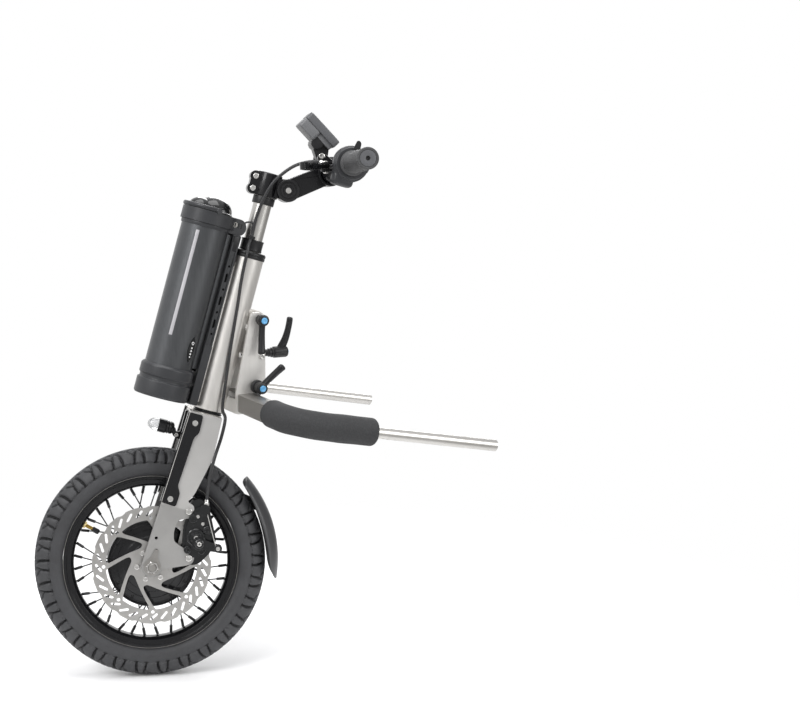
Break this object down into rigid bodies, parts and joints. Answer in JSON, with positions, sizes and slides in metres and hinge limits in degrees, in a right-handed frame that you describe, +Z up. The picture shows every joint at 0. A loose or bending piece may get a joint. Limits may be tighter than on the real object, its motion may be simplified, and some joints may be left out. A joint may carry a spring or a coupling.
{
  "type": "wheelchair power assist",
  "caption": "Clip-on electric front wheel for a manual wheelchair, with docking arms, column battery, disc brake, steered fork and a handlebar with display.",
  "frame": {"origin": "midway between the free rear ends of the two docking tubes", "axes": "+X the way of travel, +Y to the rider's left, +Z up"},
  "size_m": [0.6508, 0.4986, 0.858],
  "materials": {
    "satin_steel": "satin",
    "satin_silver": "satin",
    "bright_tube": "polished",
    "foam": "matte",
    "black_plastic": "satin",
    "dark_plastic": "satin",
    "battery_grey": "satin",
    "gloss_black": "gloss",
    "white_print": "matte",
    "black_metal": "satin",
    "blade_grey": "satin",
    "cell_steel": "satin",
    "copper": "satin",
    "mudguard_grey": "satin",
    "cable_black": "satin",
    "clear_lens": "clear",
    "tyre": "matte",
    "spoke_black": "satin",
    "rotor_steel": "satin",
    "brass": "satin",
    "pad_lining": "matte",
    "grip_rubber": "matte",
    "button_grey": "matte",
    "screen": "gloss"
  },
  "bodies": {
    "docking_frame": {"crossbar": "satin_steel", "carriage": "satin_silver"},
    "left_docking_arm": {"left_arm": "bright_tube", "left_foam": "foam"},
    "right_docking_arm": {"right_arm": "bright_tube", "right_foam": "foam"},
    "pivot_clamp": {"pivot_lever": "black_plastic"},
    "tilt_clamp": {"tilt_lever": "black_plastic"},
    "hook_clamp": {"hook_lever": "black_plastic"},
    "column": {"head_tube": "satin_silver", "headset": "black_metal", "battery_rail": "dark_plastic", "battery_base": "dark_plastic"},
    "battery": {"battery_shell": "battery_grey", "battery_cup": "dark_plastic", "battery_collar": "dark_plastic", "battery_dome": "gloss_black", "battery_core": "cell_steel", "charge_gauge": "white_print"},
    "key_barrel": {"battery_key": "satin_steel"},
    "carry_bail": {"battery_handle": "dark_plastic"},
    "steering": {"mast": "bright_tube", "mast_collars": "black_metal", "fork_crown": "satin_silver", "left_fork_blade": "blade_grey", "right_fork_blade": "blade_grey", "fork_guards": "black_metal", "fork_fasteners": "satin_steel", "axle": "satin_steel", "motor_stator": "copper", "mudguard": "mudguard_grey", "caliper_body": "black_metal", "stem_clamp": "black_metal", "brake_cable_column": "cable_black"},
    "lamp": {"lamp_body": "black_plastic", "lamp_lens": "clear_lens"},
    "wheel": {"tyre": "tyre", "rim": "black_metal", "spokes": "spoke_black", "hub_shell": "black_metal", "hub_bearings": "satin_steel", "magnets": "cell_steel", "rotor": "rotor_steel", "valve": "brass"},
    "caliper_lever": {"caliper_arm": "black_metal"},
    "pad": {"brake_pad": "pad_lining"},
    "stem": {"stem_arm": "black_metal", "stem_pivot_bolt": "black_metal", "handlebar": "black_metal", "left_grip": "grip_rubber", "right_grip": "grip_rubber", "control_pod": "black_plastic", "brake_perch": "black_metal", "display_clamp": "black_plastic", "brake_cable_bar": "cable_black"},
    "brake_blade": {"brake_lever": "black_metal"},
    "thumb_throttle": {"throttle": "black_plastic"},
    "mode_button": {"pod_button": "button_grey"},
    "display": {"display_case": "dark_plastic", "display_screen": "screen"}
  },
  "joints": [
    {"name": "left_arm_width", "type": "slide", "parent": "docking_frame", "child": "left_docking_arm", "axis": [0, 1, 0], "range_m": [0, 0.025]},
    {"name": "right_arm_width", "type": "slide", "parent": "docking_frame", "child": "right_docking_arm", "axis": [0, -1, 0], "range_m": [0, 0.025]},
    {"name": "column_tilt", "type": "hinge", "parent": "docking_frame", "child": "column", "pos_m": [0.3099, 0, 0.19248], "axis": [0, 1, 0], "range_deg": [-6, 1.5]},
    {"name": "pivot_lever_turn", "type": "hinge", "parent": "docking_frame", "child": "pivot_clamp", "pos_m": [0.3099, 0, 0.19248], "axis": [0, 1, 0], "range_deg": [-120, 120]},
    {"name": "tilt_lever_turn", "type": "hinge", "parent": "docking_frame", "child": "tilt_clamp", "pos_m": [0.29375, 0, 0.13487], "axis": [-1, 0, 0], "range_deg": [-120, 120]},
    {"name": "hook_lever_turn", "type": "hinge", "parent": "docking_frame", "child": "hook_clamp", "pos_m": [0.31875, 0, 0.08987], "axis": [0, 1, 0], "range_deg": [-35, 110]},
    {"name": "battery_lift", "type": "slide", "parent": "column", "child": "battery", "axis": [-0.2924, 0, 0.9563], "range_m": [0, 0.04]},
    {"name": "bail_swing", "type": "hinge", "parent": "battery", "child": "carry_bail", "pos_m": [0.37746, 0, 0.36141], "axis": [0, -1, 0], "range_deg": [0, 100]},
    {"name": "key_turn", "type": "hinge", "parent": "battery", "child": "key_barrel", "pos_m": [0.34185, 0.013, 0.33766], "axis": [0, 1, 0], "range_deg": [0, 90]},
    {"name": "steer", "type": "hinge", "parent": "column", "child": "steering", "pos_m": [0.34109, 0, 0.19992], "axis": [-0.2924, 0, 0.9563], "range_deg": [-26, 64], "deforming": ["brake_cable_column"]},
    {"name": "lamp_tilt", "type": "hinge", "parent": "steering", "child": "lamp", "pos_m": [0.43361, -0.01205, 0.01698], "axis": [0.3113, 0.9455, 0.0952], "range_deg": [-15, 15]},
    {"name": "wheel_spin", "type": "hinge", "parent": "steering", "child": "wheel", "pos_m": [0.48064, -0.00814, -0.17569], "axis": [0.3113, 0.9455, 0.0952], "continuous": true},
    {"name": "caliper_pull", "type": "hinge", "parent": "steering", "child": "caliper_lever", "pos_m": [0.43264, 0.07347, -0.13599], "axis": [0.3113, 0.9455, 0.0952], "range_deg": [0, 15]},
    {"name": "pad_squeeze", "type": "slide", "parent": "steering", "child": "pad", "axis": [-0.3113, -0.9455, -0.0952], "range_m": [0, 0.0004]},
    {"name": "stem_tilt", "type": "hinge", "parent": "steering", "child": "stem", "pos_m": [0.25371, 0.01009, 0.38548], "axis": [0.3113, 0.9455, 0.0952], "range_deg": [-25, 25], "deforming": ["brake_cable_bar"]},
    {"name": "brake_pull", "type": "hinge", "parent": "stem", "child": "brake_blade", "pos_m": [0.22809, 0.09378, 0.42604], "axis": [0.0285, -0.1358, 0.9903], "range_deg": [0, 18], "stiffness_Nm_per_rad": 0.4},
    {"name": "throttle_push", "type": "hinge", "parent": "stem", "child": "thumb_throttle", "pos_m": [0.20942, 0.14866, 0.4341], "axis": [0.2509, 0.96, 0.1244], "range_deg": [0, 40], "stiffness_Nm_per_rad": 0.1},
    {"name": "button_press", "type": "slide", "parent": "stem", "child": "mode_button", "axis": [0.919, -0.2766, 0.281], "range_m": [0, 0.0015], "stiffness_N_per_m": 300},
    {"name": "display_tilt", "type": "hinge", "parent": "stem", "child": "display", "pos_m": [0.20388, 0.02134, 0.43677], "axis": [0.3113, 0.9455, 0.0952], "range_deg": [-20, 20]}
  ],
  "couplings": [
    {"joint": "caliper_pull", "follows": "brake_pull", "ratio": 0.83333},
    {"joint": "pad_squeeze", "follows": "brake_pull", "m_per_rad": 0.0012732}
  ]
}
